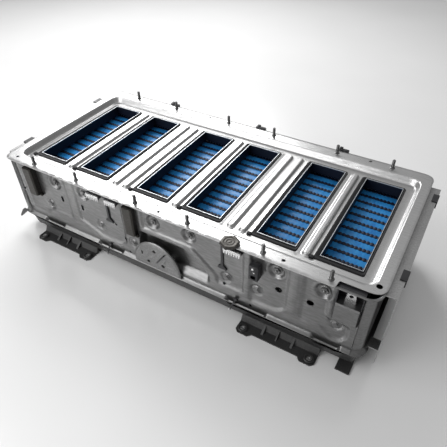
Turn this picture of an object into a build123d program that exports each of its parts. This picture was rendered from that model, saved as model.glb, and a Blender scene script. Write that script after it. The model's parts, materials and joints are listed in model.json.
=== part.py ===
from build123d import *
import os

# Air-cooled battery pack of a hybrid car: a pressed-steel case that holds six modules of prismatic cells.
# Millimetres. +X runs along the pack, -Y is the front, +Z is up, and the origin is on the floor, under the
# middle of the pack.

# --- Driving dimensions ---------------------------------------------------------------------------------

# Sheet thicknesses
cover_sheet = 1.6
case_sheet = 1.6
pan_sheet = 1.6
member_sheet = 3.0
side_sheet = 2.0
rail_sheet = 2.0
duct_sheet = 1.0
bracket_sheet = 2.0

# Heights above the floor
member_height = 18.0
ledge_height = 62.0
rim_height = 215.0

# Case walls, seen from above
case_end_gap = 24.3
case_corner = 18.0
ledge_width = 8.0
ledge_drop = 8.0

# Cover: rim, dish, windows and beads
rim_overhang = 7.0
dish_drop = 15.0
dish_margin = 14.0
dish_border = 25.0
dish_corner = 16.0
dish_run = 5.0
window_width = 90.0
window_inset = 1.7
window_corner = 8.0
window_pitch = 125.6
pair_pitch = 285.3
end_margin = 17.9
bead_width = 15.0
bead_crest = 9.0
bead_height = 6.0
twin_bead_pitch = 26.0
corner_hole_radius = 5.0
notch_length = 77.0
notch_depth = 17.0

# Window seals and air-duct collars
seal_lip = 3.0
seal_side = 5.5
seal_front = 11.0
seal_rise = 3.0
seal_tab = 10.0
collar_rise = 1.0
collar_depth = 20.0

# Cells and modules
cell_count = 12
cell_width = 104.0
cell_thickness = 21.2
cell_bottom = 60.0
top_air_gap = 8.0
separator_thickness = 3.0
separator_inset = 4.0
end_plate_thickness = 8.0
end_plate_foot = 16.0
end_plate_rib = 4.0
terminal_width = 10.0
terminal_inset = 30.0
bus_bar_thickness = 4.0
bus_bar_height = 14.0
tie_bar_thickness = 2.0
tie_bar_height = 10.0
board_thickness = 1.6
control_depth = 190.0
control_clearance = 7.25
control_drop = 20.0
post_height = 20.0

# Studs, nuts, screws and bolts
stud_radius = 3.5
stud_height = 20.0
stud_inset = 14.0
nut_flats = 13.0
nut_height = 6.0
screw_flats = 10.0
screw_height = 3.0
foot_hole_radius = 5.5

# Pressings in the front wall
panel_press = 4.0
deep_press = 14.0
dimple_press = 5.0
press_slope = 35.0
dimple_radius = 18.0
dimple_seat = 11.0
wall_hole_radius = 7.0

# Mounting cross-members and their feet
member_width = 172.0
left_member_x = -302.0
right_member_x = 271.0
foot_spacing = 146.0
foot_reach = 27.0
foot_width = 26.0
foot_bead_pitch = 32.0

# Base pan
pan_draft = 8.0
pan_corner = 12.0

# Side plates
side_reach = 26.0
side_drop = 7.0
side_depth = 340.0
side_foot = 24.0
clip_length = 26.0
clip_reach = 10.0
clip_drop = 14.0

# Parts on the front wall
channel_width = 26.0
channel_reach = 12.0
channel_height = 70.0
wire_rail_height = 14.0
wire_rail_reach = 10.0
tooth_pitch = 8.0
strap_width = 5.0
strap_length = 70.0
strap_foot = 20.0
strap_thickness = 3.0
arch_length = 120.0
arch_rise = 74.0
arch_x = -16.0
arch_reach = 9.0
hex_flats = 34.0
hex_height = 6.0
hex_plate_x = 161.0
connector_size = (20.0, 16.0, 36.0)
recess_length = 46.0
recess_height = 80.0
recess_depth = 24.0
recess_wall = 2.0

# --- Sizes worked out from them -------------------------------------------------------------------------

dish_length = 2 * (pair_pitch + (window_pitch + window_width) / 2 + end_margin + dish_run)
case_length = dish_length + 2 * dish_margin
cell_pitch = cell_thickness + separator_thickness
stack_length = cell_count * cell_pitch + separator_thickness
module_length = stack_length + 2 * end_plate_thickness
window_depth = stack_length - 2 * window_inset
case_depth = module_length + 2 * (end_plate_foot + case_end_gap)
dish_depth = case_depth - 2 * dish_border
case_front = -case_depth / 2
case_top = rim_height - cover_sheet
cover_length = case_length + 2 * rim_overhang
cover_depth = case_depth + 2 * rim_overhang
cover_corner = case_corner + rim_overhang
dish_floor = rim_height - dish_drop
pair_centres = [-pair_pitch, 0, pair_pitch]
window_centres = [x + side * window_pitch / 2 for x in pair_centres for side in (-1, 1)]
twin_bead_centres = [side * pair_pitch / 2 + offset * twin_bead_pitch / 2
                     for side in (-1, 1) for offset in (-1, 1)]
bead_centres = pair_centres + twin_bead_centres
opening_width = window_width - 2 * seal_lip
opening_depth = window_depth - 2 * seal_lip
collar_width = window_width - 2 * seal_side
collar_length = window_depth - seal_side - seal_front
collar_shift = (seal_front - seal_side) / 2
stud_y = cover_depth / 2 - stud_inset
pan_floor = member_height + pan_sheet
ledge_low = ledge_height - ledge_drop
case_bottom = ledge_height - case_sheet
cell_top = dish_floor - collar_depth - top_air_gap
cell_height = cell_top - cell_bottom
stack_start = -stack_length / 2
front_plane = Plane.XZ.offset(-case_front)
inner_front_plane = Plane.XZ.offset(-case_front - case_sheet)
pressed_plane = Plane.XZ.offset(-case_front - panel_press)

os.makedirs("parts", exist_ok=True)


# --- Top cover ------------------------------------------------------------------------------------------

corner_hole = (case_length / 2 - 8, case_front + 30)
notch_left = case_length / 2 + rim_overhang - notch_length


def rounded_band(height, outer, inner, thickness):
    """Extrude the band between two rounded rectangles, each given as (length, depth, corner)."""
    with BuildSketch(Plane.XY.offset(height)) as band:
        RectangleRounded(*outer)
        RectangleRounded(*inner, mode=Mode.SUBTRACT)
    extrude(band.sketch, amount=thickness)


def tapered_block(low, low_outline, high, high_outline, mode=Mode.ADD):
    """Loft between two rounded rectangles at two heights."""
    with BuildSketch(Plane.XY.offset(low)) as bottom:
        RectangleRounded(*low_outline)
    with BuildSketch(Plane.XY.offset(high)) as top:
        RectangleRounded(*high_outline)
    loft([bottom.sketch.face(), top.sketch.face()], ruled=True, mode=mode)


def bead(x):
    """Loft one long bead that stands on the dish floor, and the hollow under it."""
    with BuildSketch(Plane.XY.offset(dish_floor)) as foot:
        with Locations((x, 0)):
            RectangleRounded(bead_width, window_depth, bead_width / 2.2)
    with BuildSketch(Plane.XY.offset(dish_floor + bead_height)) as crest:
        with Locations((x, 0)):
            RectangleRounded(bead_crest, window_depth - (bead_width - bead_crest), bead_crest / 2.2)
    loft([foot.sketch.face(), crest.sketch.face()], ruled=True)
    hollow_depth = window_depth - 1.5 * bead_width
    with BuildSketch(Plane.XY.offset(dish_floor - cover_sheet)) as mouth:
        with Locations((x, 0)):
            Rectangle(bead_width - 2 * cover_sheet, hollow_depth)
    with BuildSketch(Plane.XY.offset(dish_floor + bead_height - cover_sheet)) as roof:
        with Locations((x, 0)):
            Rectangle(bead_crest - cover_sheet, hollow_depth - (bead_width - bead_crest))
    loft([mouth.sketch.face(), roof.sketch.face()], ruled=True, mode=Mode.SUBTRACT)


with BuildPart() as top_cover:
    with BuildSketch(Plane.XY.offset(rim_height - cover_sheet)):
        RectangleRounded(cover_length, cover_depth, cover_corner)
    extrude(amount=cover_sheet)
    dish_outline = (dish_length, dish_depth, dish_corner)
    floor_outline = (dish_length - 2 * dish_run, dish_depth - 2 * dish_run, dish_corner - dish_run)
    outer_dish = (dish_length + 2 * cover_sheet, dish_depth + 2 * cover_sheet, dish_corner + cover_sheet)
    outer_floor = (floor_outline[0] + 2 * cover_sheet, floor_outline[1] + 2 * cover_sheet,
                   floor_outline[2] + cover_sheet)
    tapered_block(dish_floor - cover_sheet, outer_floor, rim_height - cover_sheet, outer_dish)
    tapered_block(dish_floor, floor_outline, rim_height, dish_outline, Mode.SUBTRACT)
    for bead_x in bead_centres:
        bead(bead_x)
    with BuildSketch(Plane.XY.offset(dish_floor)):
        with Locations(*[(x, 0) for x in window_centres]):
            Rectangle(opening_width, opening_depth)
    extrude(amount=cover_sheet, both=True, mode=Mode.SUBTRACT)
    with BuildSketch(Plane.XY.offset(rim_height)):
        with Locations(corner_hole):
            Circle(corner_hole_radius)
        with Locations((notch_left + notch_length / 2 - 20, -cover_depth / 2)):
            Rectangle(notch_length - 40, 2 * notch_depth)
    extrude(amount=-cover_sheet, mode=Mode.SUBTRACT)
top_cover.part.label = "top_cover"
export_step(top_cover.part, "parts/top_cover.step")


# --- Case body: the pressed ring of side walls ------------------------------------------------------------

def wall_places(*places):
    """Points of the front wall. Their x is given in hundredths of the pair pitch, so it follows the windows."""
    return [(x * pair_pitch / 100, z) for x, z in places]


panel_top = case_top - case_sheet - 1
nut_dimples = wall_places((-102.3, 185), (-73.3, 185), (-7.4, 184), (23.1, 186), (88.3, 185), (119.9, 183))
screw_places = wall_places((-115.3, 113), (-61.3, 112), (52.6, 114), (75.7, 114), (131.1, 112))
low_screw = wall_places((-28.4, 103))
wall_holes = wall_places((91.1, 140), (112.9, 140))
panels = [
    wall_places((-141.6, 84), (-118.5, 84), (-113.6, 98), (-90.4, 98), (-90.4, panel_top),
                (-141.6, panel_top)),
    wall_places((-82.7, 106), (-61, 80), (-39.3, 80), (-35.1, 92), (-35.1, panel_top), (-82.7, panel_top)),
    wall_places((-17.5, 158), (24.5, 158), (44.2, 108), (44.2, 90), (66.6, 90), (66.6, panel_top),
                (-17.5, panel_top)),
    wall_places((70.1, 80), (91.8, 80), (98.1, 98), (98.1, panel_top), (70.1, panel_top)),
    wall_places((106.2, 92), (124.1, 88), (127.6, 76), (136.7, 76), (140.2, 88), (140.2, 124),
                (124.8, 124), (124.8, panel_top), (106.2, panel_top)),
]
deep_panel = wall_places((-21.7, 148), (21, 148), (39.3, 104), (39.3, 76), (-21.7, 76))
low_ledges = [(left * pair_pitch / 100, right * pair_pitch / 100)
              for left, right in ((-123.4, -106.6), (-63.1, -42.8), (55.4, 82.7), (120.2, 135.3))]
recess_x = case_length / 2 - case_corner - recess_length / 2 - 2
recess_z = panel_top - recess_height / 2


def press_panel(corners, depth):
    """Press one flat-bottomed panel into the front wall, the same thickness all over."""
    with BuildSketch(inner_front_plane) as backing:
        with BuildLine():
            Polyline(*corners, close=True)
        make_face()
        offset(amount=case_sheet, kind=Kind.INTERSECTION)
    extrude(backing.sketch, amount=-depth, taper=press_slope)
    with BuildSketch(front_plane) as hollow:
        with BuildLine():
            Polyline(*corners, close=True)
        make_face()
    extrude(hollow.sketch, amount=-depth, taper=press_slope, mode=Mode.SUBTRACT)


def press_dimples(places):
    """Press cone-sided dimples, each with a flat seat for a nut, into the panels."""
    centres = [pressed_plane.location * Location((x, z, 0)) for x, z in places]
    base = (Align.CENTER, Align.CENTER, Align.MIN)
    with Locations(*centres):
        Cone(dimple_radius + case_sheet, dimple_seat + case_sheet, dimple_press + case_sheet,
             rotation=(180, 0, 0), align=base)
    with Locations(*centres):
        Cone(dimple_radius, dimple_seat, dimple_press, rotation=(180, 0, 0), align=base,
             mode=Mode.SUBTRACT)


def ledge_line(lift):
    """Corners of the stepped ledge along the front, from left to right, raised by lift."""
    reach = case_length / 2 - case_corner
    corners = [(-reach, ledge_height + lift)]
    for left, right in low_ledges:
        corners += [(left - ledge_drop, ledge_height + lift), (left, ledge_low + lift)]
        corners += [(right, ledge_low + lift), (right + ledge_drop, ledge_height + lift)]
    corners += [(reach, ledge_height + lift)]
    return corners


with BuildPart() as case_body:
    wall_outline = (case_length, case_depth, case_corner)
    wall_inside = (case_length - 2 * case_sheet, case_depth - 2 * case_sheet, case_corner - case_sheet)
    ledge_outline = (case_length + 2 * ledge_width, case_depth + 2 * ledge_width,
                     case_corner + ledge_width)
    rim_outline = (cover_length - 2, cover_depth - 2, cover_corner - 1)
    rounded_band(ledge_height, wall_outline, wall_inside, case_top - ledge_height)
    rounded_band(case_top - case_sheet, rim_outline, wall_inside, case_sheet)
    rounded_band(case_bottom, ledge_outline, wall_inside, case_sheet)
    # The front ledge steps down below each pair of feet.
    with BuildSketch(front_plane) as step_hollow:
        with BuildLine():
            Polyline(*ledge_line(-2 * case_sheet), (ledge_line(0)[-1][0], ledge_height + case_sheet),
                     (ledge_line(0)[0][0], ledge_height + case_sheet), close=True)
        make_face()
    extrude(step_hollow.sketch, amount=2 * ledge_width, mode=Mode.SUBTRACT)
    extrude(step_hollow.sketch, amount=-case_sheet)
    with BuildSketch(front_plane) as step_band:
        with BuildLine():
            Polyline(*ledge_line(0), *reversed(ledge_line(-case_sheet)), close=True)
        make_face()
    extrude(step_band.sketch, amount=ledge_width)
    with BuildSketch(inner_front_plane) as trim:
        with BuildLine():
            Polyline(*ledge_line(-case_sheet), (ledge_line(0)[-1][0], ledge_low - 9 * case_sheet),
                     (ledge_line(0)[0][0], ledge_low - 9 * case_sheet), close=True)
        make_face()
    extrude(trim.sketch, amount=3 * ledge_width, both=True, mode=Mode.SUBTRACT)
    for panel in panels:
        press_panel(panel, panel_press)
    press_panel(deep_panel, deep_press)
    press_dimples(nut_dimples)
    with BuildSketch(front_plane) as hole_outline:
        with Locations(*wall_holes):
            Circle(wall_hole_radius)
    extrude(hole_outline.sketch, amount=-2 * panel_press, both=True, mode=Mode.SUBTRACT)
    # Opening for the recess at the front right corner
    with BuildSketch(front_plane) as recess_mouth:
        with Locations((recess_x, recess_z)):
            Rectangle(recess_length, recess_height)
    extrude(recess_mouth.sketch, amount=-2 * panel_press, both=True, mode=Mode.SUBTRACT)
case_body.part.label = "case_body"
export_step(case_body.part, "parts/case_body.step")


# --- Base pan and mounting cross-members ------------------------------------------------------------------

pan_foot = (case_length - 2 * pan_draft, case_depth - 2 * pan_draft, pan_corner)
pan_mouth = (case_length + case_sheet, case_depth + case_sheet, case_corner)


def shrunk(outline, amount):
    """The same rounded rectangle, smaller by amount all round."""
    return (outline[0] - 2 * amount, outline[1] - 2 * amount, outline[2] - amount)


with BuildPart() as base_pan:
    tapered_block(member_height, pan_foot, case_bottom, pan_mouth)
    tapered_block(pan_floor, shrunk(pan_foot, pan_sheet), case_bottom, shrunk(pan_mouth, pan_sheet),
                  Mode.SUBTRACT)
    # The front edge follows the stepped ledge.
    with BuildSketch(inner_front_plane) as above_ledge:
        with BuildLine():
            Polyline(*ledge_line(-case_sheet), (ledge_line(0)[-1][0], ledge_height + 1),
                     (ledge_line(0)[0][0], ledge_height + 1), close=True)
        make_face()
    extrude(above_ledge.sketch, amount=2 * ledge_width, both=True, mode=Mode.SUBTRACT)
base_pan.part.label = "base_pan"
export_step(base_pan.part, "parts/base_pan.step")

foot_edge = case_front + pan_draft
foot_y = case_front - foot_reach + foot_width / 2


def cross_member(name, centre):
    """A pressed beam under the pan, with a flat bolted foot at the front and the back."""
    reach = -case_front + foot_reach
    shoulder = -foot_edge - 2
    with BuildPart() as member:
        with BuildSketch(Plane.YZ.offset(centre - member_width / 2)):
            with BuildLine():
                Polyline((-reach, 0), (-shoulder - 6, 0), (-shoulder + 2, member_height - member_sheet),
                         (shoulder - 2, member_height - member_sheet), (shoulder + 6, 0), (reach, 0),
                         (reach, member_sheet), (shoulder + 8, member_sheet), (shoulder, member_height),
                         (-shoulder, member_height), (-shoulder - 8, member_sheet),
                         (-reach, member_sheet), close=True)
            make_face()
        extrude(amount=member_width)
        # Side walls below the top of the beam
        with BuildSketch(Plane.XY):
            with GridLocations(member_width - member_sheet, 0, 2, 1):
                with Locations((centre, 0)):
                    Rectangle(member_sheet, 2 * (shoulder - 4))
        extrude(amount=member_height - member_sheet)
        # Stiffening beads between the bolt holes, over the foot and up the shoulder
        with BuildSketch(Plane.YZ.offset(centre)) as bead_side:
            with BuildLine():
                Polyline((shoulder + 1, member_height - 3), (shoulder + 20, member_sheet),
                         (shoulder + 6, member_sheet), (shoulder - 1, member_height - 4), close=True)
            make_face()
            mirror(about=Plane.YZ)
        for offset_x in (-foot_bead_pitch, 0, foot_bead_pitch):
            extrude(bead_side.sketch.moved(Location((offset_x, 0, 0))), amount=2.5, both=True)
        # The foot's edge stands back between its two ears
        with BuildSketch(Plane.XY):
            with Locations((centre, -reach), (centre, reach)):
                Rectangle(foot_spacing - 2 * foot_width + 8, 16)
        extrude(amount=member_sheet, mode=Mode.SUBTRACT)
        corners = member.edges().filter_by(Axis.Z).group_by(Axis.Y)
        chamfer(corners[0] + corners[-1], foot_width / 4)
        with Locations((centre, 0, 0)):
            with GridLocations(foot_spacing, 2 * foot_y, 2, 2):
                Hole(foot_hole_radius, depth=member_sheet)
    member.part.label = name
    export_step(member.part, f"parts/{name}.step")
    return member.part


left_cross_member = cross_member("left_cross_member", left_member_x)
right_cross_member = cross_member("right_cross_member", right_member_x)


# --- Side plates ------------------------------------------------------------------------------------------

side_top = case_top - side_drop
side_bottom = pan_floor + 4
side_wall = case_length / 2


def side_plate(name, side):
    """A folded plate at one end: a ledge beside the rim, an outer web and a foot against the pan."""
    web = side * (side_wall + side_reach)
    with BuildPart() as plate:
        with BuildSketch(Plane.XZ.offset(-side_depth / 2)):
            with BuildLine():
                Polyline((side * side_wall, side_top), (web, side_top), (web, side_bottom),
                         (web - side * side_sheet, side_bottom),
                         (web - side * side_sheet, side_top - side_sheet),
                         (side * side_wall, side_top - side_sheet), close=True)
            make_face()
        extrude(amount=side_depth)
        # Two lugs fold back from the web to the wall's ledge
        with BuildSketch(Plane.XY.offset(ledge_height)):
            with Locations((side * (side_wall + side_reach / 2), 0)):
                with GridLocations(0, side_depth - side_foot, 1, 2):
                    Rectangle(side_reach, side_foot)
        extrude(amount=side_sheet)
    plate.part.label = name
    export_step(plate.part, f"parts/{name}.step")


side_plate("left_side_plate", -1)
side_plate("right_side_plate", 1)

web_x = side_wall + side_reach
with BuildPart() as edge_clips:
    for side in (-1, 1):
        with BuildSketch(Plane.XZ) as clip_section:
            with BuildLine():
                Polyline((side * (web_x - clip_reach), side_top), (side * web_x, side_top),
                         (side * web_x, side_top - clip_drop),
                         (side * (web_x + side_sheet), side_top - clip_drop),
                         (side * (web_x + side_sheet), side_top + side_sheet),
                         (side * (web_x - clip_reach), side_top + side_sheet), close=True)
            make_face()
        for clip_y in (-112, 133):
            extrude(clip_section.sketch.moved(Location((0, clip_y, 0))), amount=clip_length / 2, both=True)
edge_clips.part.label = "edge_clips"
export_step(edge_clips.part, "parts/edge_clips.step")


# --- Window seals and air-duct collars ----------------------------------------------------------------------

seal_bottom = dish_floor - cover_sheet - 1
collar_bottom = dish_floor - collar_depth


def window_seal(number, x):
    """A rubber frame that fills the cover's opening, with a lip on the dish floor."""
    with BuildPart() as seal:
        with BuildSketch(Plane.XY.offset(seal_bottom)):
            with Locations((x, 0)):
                Rectangle(opening_width, opening_depth)
        extrude(amount=dish_floor - seal_bottom)
        with BuildSketch(Plane.XY.offset(dish_floor)) as lip:
            with Locations((x, 0)):
                Rectangle(window_width, window_depth)
            chamfer(lip.vertices(), window_corner / 2)
            with Locations((x - window_width / 2, -window_depth / 2 + window_corner + seal_tab / 2)):
                Rectangle(seal_tab, seal_tab)
        extrude(amount=seal_rise)
        with BuildSketch(Plane.XY.offset(seal_bottom)):
            with Locations((x, collar_shift)):
                Rectangle(collar_width, collar_length)
        extrude(amount=2 * seal_rise + dish_floor - seal_bottom, mode=Mode.SUBTRACT)
    seal.part.label = f"window_seal_{number}"
    export_step(seal.part, f"parts/window_seal_{number}.step")


def air_collar(number, x):
    """A thin metal duct inside the seal, open above and below, down towards the cells."""
    with BuildPart() as collar:
        with BuildSketch(Plane.XY.offset(collar_bottom)):
            with Locations((x, collar_shift)):
                Rectangle(collar_width, collar_length)
                Rectangle(collar_width - 2 * duct_sheet, collar_length - 2 * duct_sheet,
                          mode=Mode.SUBTRACT)
        extrude(amount=collar_depth + seal_rise + collar_rise)
    collar.part.label = f"air_collar_{number}"
    export_step(collar.part, f"parts/air_collar_{number}.step")


for number, window_x in enumerate(window_centres, start=1):
    window_seal(number, window_x)
    air_collar(number, window_x)


# --- Modules ------------------------------------------------------------------------------------------------

# The terminals of the two modules of a pair face away from each other.
module_sides = [-1, 1] * len(pair_centres)
cell_middle = cell_bottom + cell_height / 2
terminal_heights = [cell_bottom + terminal_inset, cell_top - terminal_inset]
cell_centres = [stack_start + separator_thickness + cell_thickness / 2 + n * cell_pitch
                for n in range(cell_count)]
separator_centres = [stack_start + separator_thickness / 2 + n * cell_pitch
                     for n in range(cell_count + 1)]


def module_cells(number, x):
    """Twelve prismatic cells in a row."""
    with BuildPart() as cells:
        with Locations(*[(x, y, cell_bottom) for y in cell_centres]):
            Box(cell_width, cell_thickness, cell_height, align=(Align.CENTER, Align.CENTER, Align.MIN))
    cells.part.label = f"module_{number}_cells"
    export_step(cells.part, f"parts/module_{number}_cells.step")


def module_separators(number, x):
    """Spacer plates between the cells, narrower than the cells so that the gaps show as grooves."""
    with BuildPart() as separators:
        with Locations(*[(x, y, cell_bottom) for y in separator_centres]):
            Box(cell_width - 2 * separator_inset, separator_thickness, cell_height - separator_inset,
                align=(Align.CENTER, Align.CENTER, Align.MIN))
    separators.part.label = f"module_{number}_separators"
    export_step(separators.part, f"parts/module_{number}_separators.step")


def module_bus_bars(number, x, side):
    """Bars that join the terminals of neighbouring cells, by turns at the lower and the upper row."""
    face = x + side * (cell_width + bus_bar_thickness) / 2
    with BuildPart() as bars:
        for n in range(cell_count - 1):
            middle = (cell_centres[n] + cell_centres[n + 1]) / 2
            with Locations((face, middle, terminal_heights[n % 2])):
                Box(bus_bar_thickness, cell_pitch + terminal_width, bus_bar_height)
    bars.part.label = f"module_{number}_bus_bars"
    export_step(bars.part, f"parts/module_{number}_bus_bars.step")


for number, (module_x, side) in enumerate(zip(window_centres, module_sides), start=1):
    module_cells(number, module_x)
    module_separators(number, module_x)
    module_bus_bars(number, module_x, side)

with BuildPart() as end_plates:
    for end in (-1, 1):
        inner = end * stack_length / 2
        outer = end * module_length / 2
        toe = outer + end * end_plate_foot
        with BuildSketch(Plane.YZ) as plate_side:
            with BuildLine():
                Polyline((inner, cell_bottom), (toe, cell_bottom), (toe, cell_bottom + end_plate_rib),
                         (outer, cell_bottom + 3 * end_plate_rib), (outer, cell_top), (inner, cell_top),
                         close=True)
            make_face()
        for module_x in window_centres:
            extrude(plate_side.sketch.moved(Location((module_x, 0, 0))), amount=cell_width / 2, both=True)
end_plates.part.label = "module_end_plates"
export_step(end_plates.part, "parts/module_end_plates.step")

tie_bar_z = cell_top - tie_bar_height
with BuildPart() as tie_bars:
    for module_x in window_centres:
        for side in (-1, 1):
            with Locations((module_x + side * (cell_width + tie_bar_thickness) / 2, 0, tie_bar_z)):
                Box(tie_bar_thickness, module_length, tie_bar_height)
tie_bars.part.label = "module_tie_bars"
export_step(tie_bars.part, "parts/module_tie_bars.step")

with BuildPart() as monitor_boards:
    board_offset = cell_width / 2 + bus_bar_thickness + board_thickness / 2
    for module_x, side in zip(window_centres, module_sides):
        with Locations((module_x + side * board_offset, 0, cell_middle)):
            Box(board_thickness, stack_length - 2 * cell_thickness, cell_height - 2 * terminal_inset)
monitor_boards.part.label = "cell_monitor_boards"
export_step(monitor_boards.part, "parts/cell_monitor_boards.step")

rail_y = module_length / 2 + end_plate_foot / 2 - 4
with BuildPart() as support_rails:
    rail_height = cell_bottom - pan_floor
    for side in (-1, 1):
        with BuildSketch(Plane.YZ.offset(-case_length / 2 + 26)) as rail_section:
            with BuildLine():
                Polyline((side * rail_y - 14, pan_floor), (side * rail_y - 14, cell_bottom),
                         (side * rail_y + 14, cell_bottom), (side * rail_y + 14, pan_floor),
                         (side * rail_y + 14 - rail_sheet, pan_floor),
                         (side * rail_y + 14 - rail_sheet, cell_bottom - rail_sheet),
                         (side * rail_y - 14 + rail_sheet, cell_bottom - rail_sheet),
                         (side * rail_y - 14 + rail_sheet, pan_floor), close=True)
            make_face()
        extrude(rail_section.sketch, amount=case_length - 52)
support_rails.part.label = "module_support_rails"
export_step(support_rails.part, "parts/module_support_rails.step")

control_x = pair_pitch / 2
control_gap = pair_pitch - window_pitch - cell_width - 2 * (bus_bar_thickness + board_thickness)
control_width = control_gap - 2 * control_clearance
controller_top = cell_top - control_drop


def control_housing(x, height):
    """A closed housing that stands on the pan between two pairs of modules."""
    with Locations((x, 0, pan_floor)):
        Box(control_width, control_depth, height, align=(Align.CENTER, Align.CENTER, Align.MIN))


with BuildPart() as battery_controller:
    control_housing(-control_x, controller_top - pan_floor)
    with Locations((-control_x, 0, controller_top)):
        with GridLocations(0, control_depth / 3, 1, 3):
            Box(control_width / 2, control_depth / 5, 8, align=(Align.CENTER, Align.CENTER, Align.MIN))
battery_controller.part.label = "battery_controller"
export_step(battery_controller.part, "parts/battery_controller.step")

with BuildPart() as junction_box:
    control_housing(control_x, controller_top - post_height - pan_floor)
    with Locations((control_x, 0, controller_top - post_height)):
        with GridLocations(0, control_depth / 2, 1, 2):
            Box(control_width * 0.8, control_width * 0.8, post_height,
                align=(Align.CENTER, Align.CENTER, Align.MIN))
junction_box.part.label = "junction_box"
export_step(junction_box.part, "parts/junction_box.step")


# --- Studs, nuts and screws -----------------------------------------------------------------------------------

with BuildPart() as duct_studs:
    for end in (-1, 1):
        with Locations(*[(x, end * stud_y, rim_height) for x in window_centres]):
            Cylinder(stud_radius, stud_height, align=(Align.CENTER, Align.CENTER, Align.MIN))
duct_studs.part.label = "duct_studs"
export_step(duct_studs.part, "parts/duct_studs.step")

seat_plane = Plane.XZ.offset(-case_front - panel_press - dimple_press)

with BuildPart() as wall_nuts:
    with BuildSketch(seat_plane) as nut_outline:
        with Locations(*nut_dimples):
            RegularPolygon(nut_flats / 2, 6, major_radius=False)
    extrude(nut_outline.sketch, amount=nut_height)
wall_nuts.part.label = "wall_nuts"
export_step(wall_nuts.part, "parts/wall_nuts.step")

with BuildPart() as wall_screws:
    for screw_plane, places in ((pressed_plane, screw_places), (front_plane, low_screw)):
        with BuildSketch(screw_plane) as screw_outline:
            with Locations(*places):
                RegularPolygon(screw_flats / 2, 6, major_radius=False)
        extrude(screw_outline.sketch, amount=screw_height)
wall_screws.part.label = "wall_screws"
export_step(wall_screws.part, "parts/wall_screws.step")


# --- Brackets and fittings on the front wall ------------------------------------------------------------------

fitting_top = panel_top - panel_press
channels = [(-362, case_front + panel_press), (-75, case_front)]
with BuildPart() as channel_brackets:
    for channel_x, back in channels:
        front = case_front - channel_reach
        depth = back - front
        with BuildSketch(Plane.XY.offset(fitting_top - channel_height)) as channel_section:
            with Locations((channel_x, (front + back) / 2)):
                Rectangle(channel_width, depth)
            with Locations((channel_x, (front + back) / 2 + bracket_sheet)):
                Rectangle(channel_width - 2 * bracket_sheet, depth, mode=Mode.SUBTRACT)
        extrude(channel_section.sketch, amount=channel_height)
        with Locations((channel_x + 4, back, fitting_top - channel_height)):
            Box(channel_width + 8, depth - 3, 5, align=(Align.CENTER, Align.MAX, Align.MAX))
channel_brackets.part.label = "channel_brackets"
export_step(channel_brackets.part, "parts/channel_brackets.step")

wire_rail_spans = [(-184, -150), (-134, -104), (150, 186)]
with BuildPart() as wire_rails:
    for left, right in wire_rail_spans:
        face = case_front - wire_rail_reach
        with Locations(((left + right) / 2, case_front + panel_press, fitting_top)):
            Box(right - left, wire_rail_reach + panel_press, bracket_sheet,
                align=(Align.CENTER, Align.MAX, Align.MAX))
        with Locations(((left + right) / 2, face, fitting_top)):
            Box(right - left, bracket_sheet, wire_rail_height, align=(Align.CENTER, Align.MIN, Align.MAX))
        tooth_count = int((right - left) / tooth_pitch)
        with Locations(((left + right) / 2, face, fitting_top - wire_rail_height)):
            with GridLocations(tooth_pitch, 0, tooth_count, 1):
                Box(tooth_pitch / 2, 3 * bracket_sheet, wire_rail_height, mode=Mode.SUBTRACT)
wire_rails.part.label = "wire_rails"
export_step(wire_rails.part, "parts/wire_rails.step")

strap_places = [-142, 141]
with BuildPart() as hold_down_straps:
    with BuildSketch(pressed_plane) as strap_outline:
        for strap_x in strap_places:
            with Locations((strap_x, fitting_top)):
                Rectangle(strap_width, strap_length, align=(Align.CENTER, Align.MAX))
            with Locations((strap_x, fitting_top - strap_length)):
                Rectangle(strap_foot, strap_width, align=(Align.CENTER, Align.CENTER))
    extrude(strap_outline.sketch, amount=strap_thickness)
hold_down_straps.part.label = "hold_down_straps"
export_step(hold_down_straps.part, "parts/hold_down_straps.step")

with BuildPart() as arch_plate:
    with BuildSketch(front_plane) as arch_outline:
        with BuildLine():
            foot_left = (arch_x - arch_length / 2, ledge_height)
            crown = (arch_x, ledge_height + arch_rise)
            foot_right = (arch_x + arch_length / 2, ledge_height)
            ThreePointArc(foot_left, (arch_x - arch_length * 0.3, ledge_height + arch_rise * 0.78), crown)
            ThreePointArc(crown, (arch_x + arch_length * 0.3, ledge_height + arch_rise * 0.78), foot_right)
            Line(foot_right, foot_left)
        make_face()
    extrude(arch_outline.sketch, amount=arch_reach)
    with BuildSketch(front_plane) as arch_hollow:
        add(arch_outline.sketch_local)
        offset(amount=-bracket_sheet)
    extrude(arch_hollow.sketch, amount=arch_reach - bracket_sheet, mode=Mode.SUBTRACT)
arch_plate.part.label = "arch_plate"
export_step(arch_plate.part, "parts/arch_plate.step")

with BuildPart() as hex_plate:
    with BuildSketch(Plane.XY.offset(rim_height)):
        with Locations((hex_plate_x, -cover_depth / 2 + 4)):
            RegularPolygon(hex_flats / 2, 6, major_radius=False, rotation=30)
    extrude(amount=hex_height)
hex_plate.part.label = "hex_plate"
export_step(hex_plate.part, "parts/hex_plate.step")

connector_x = 214.0
connector_z = 172.0
with BuildPart() as connector_box:
    with Locations((connector_x, case_front + panel_press, connector_z)):
        Box(*connector_size, align=(Align.CENTER, Align.MAX, Align.CENTER))
    chamfer(connector_box.faces().sort_by(Axis.Y)[0].edges(), 2)
connector_box.part.label = "connector_box"
export_step(connector_box.part, "parts/connector_box.step")

# Recess at the front right corner: a plastic tub, a bracket box in it and an earth tab on the box
tub_front = case_front
with BuildPart() as recess_tub:
    with Locations((recess_x, tub_front, recess_z)):
        Box(recess_length, recess_depth, recess_height, align=(Align.CENTER, Align.MIN, Align.CENTER))
        Box(recess_length - 2 * recess_wall, recess_depth - recess_wall, recess_height - 2 * recess_wall,
            align=(Align.CENTER, Align.MIN, Align.CENTER), mode=Mode.SUBTRACT)
recess_tub.part.label = "recess_tub"
export_step(recess_tub.part, "parts/recess_tub.step")

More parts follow.
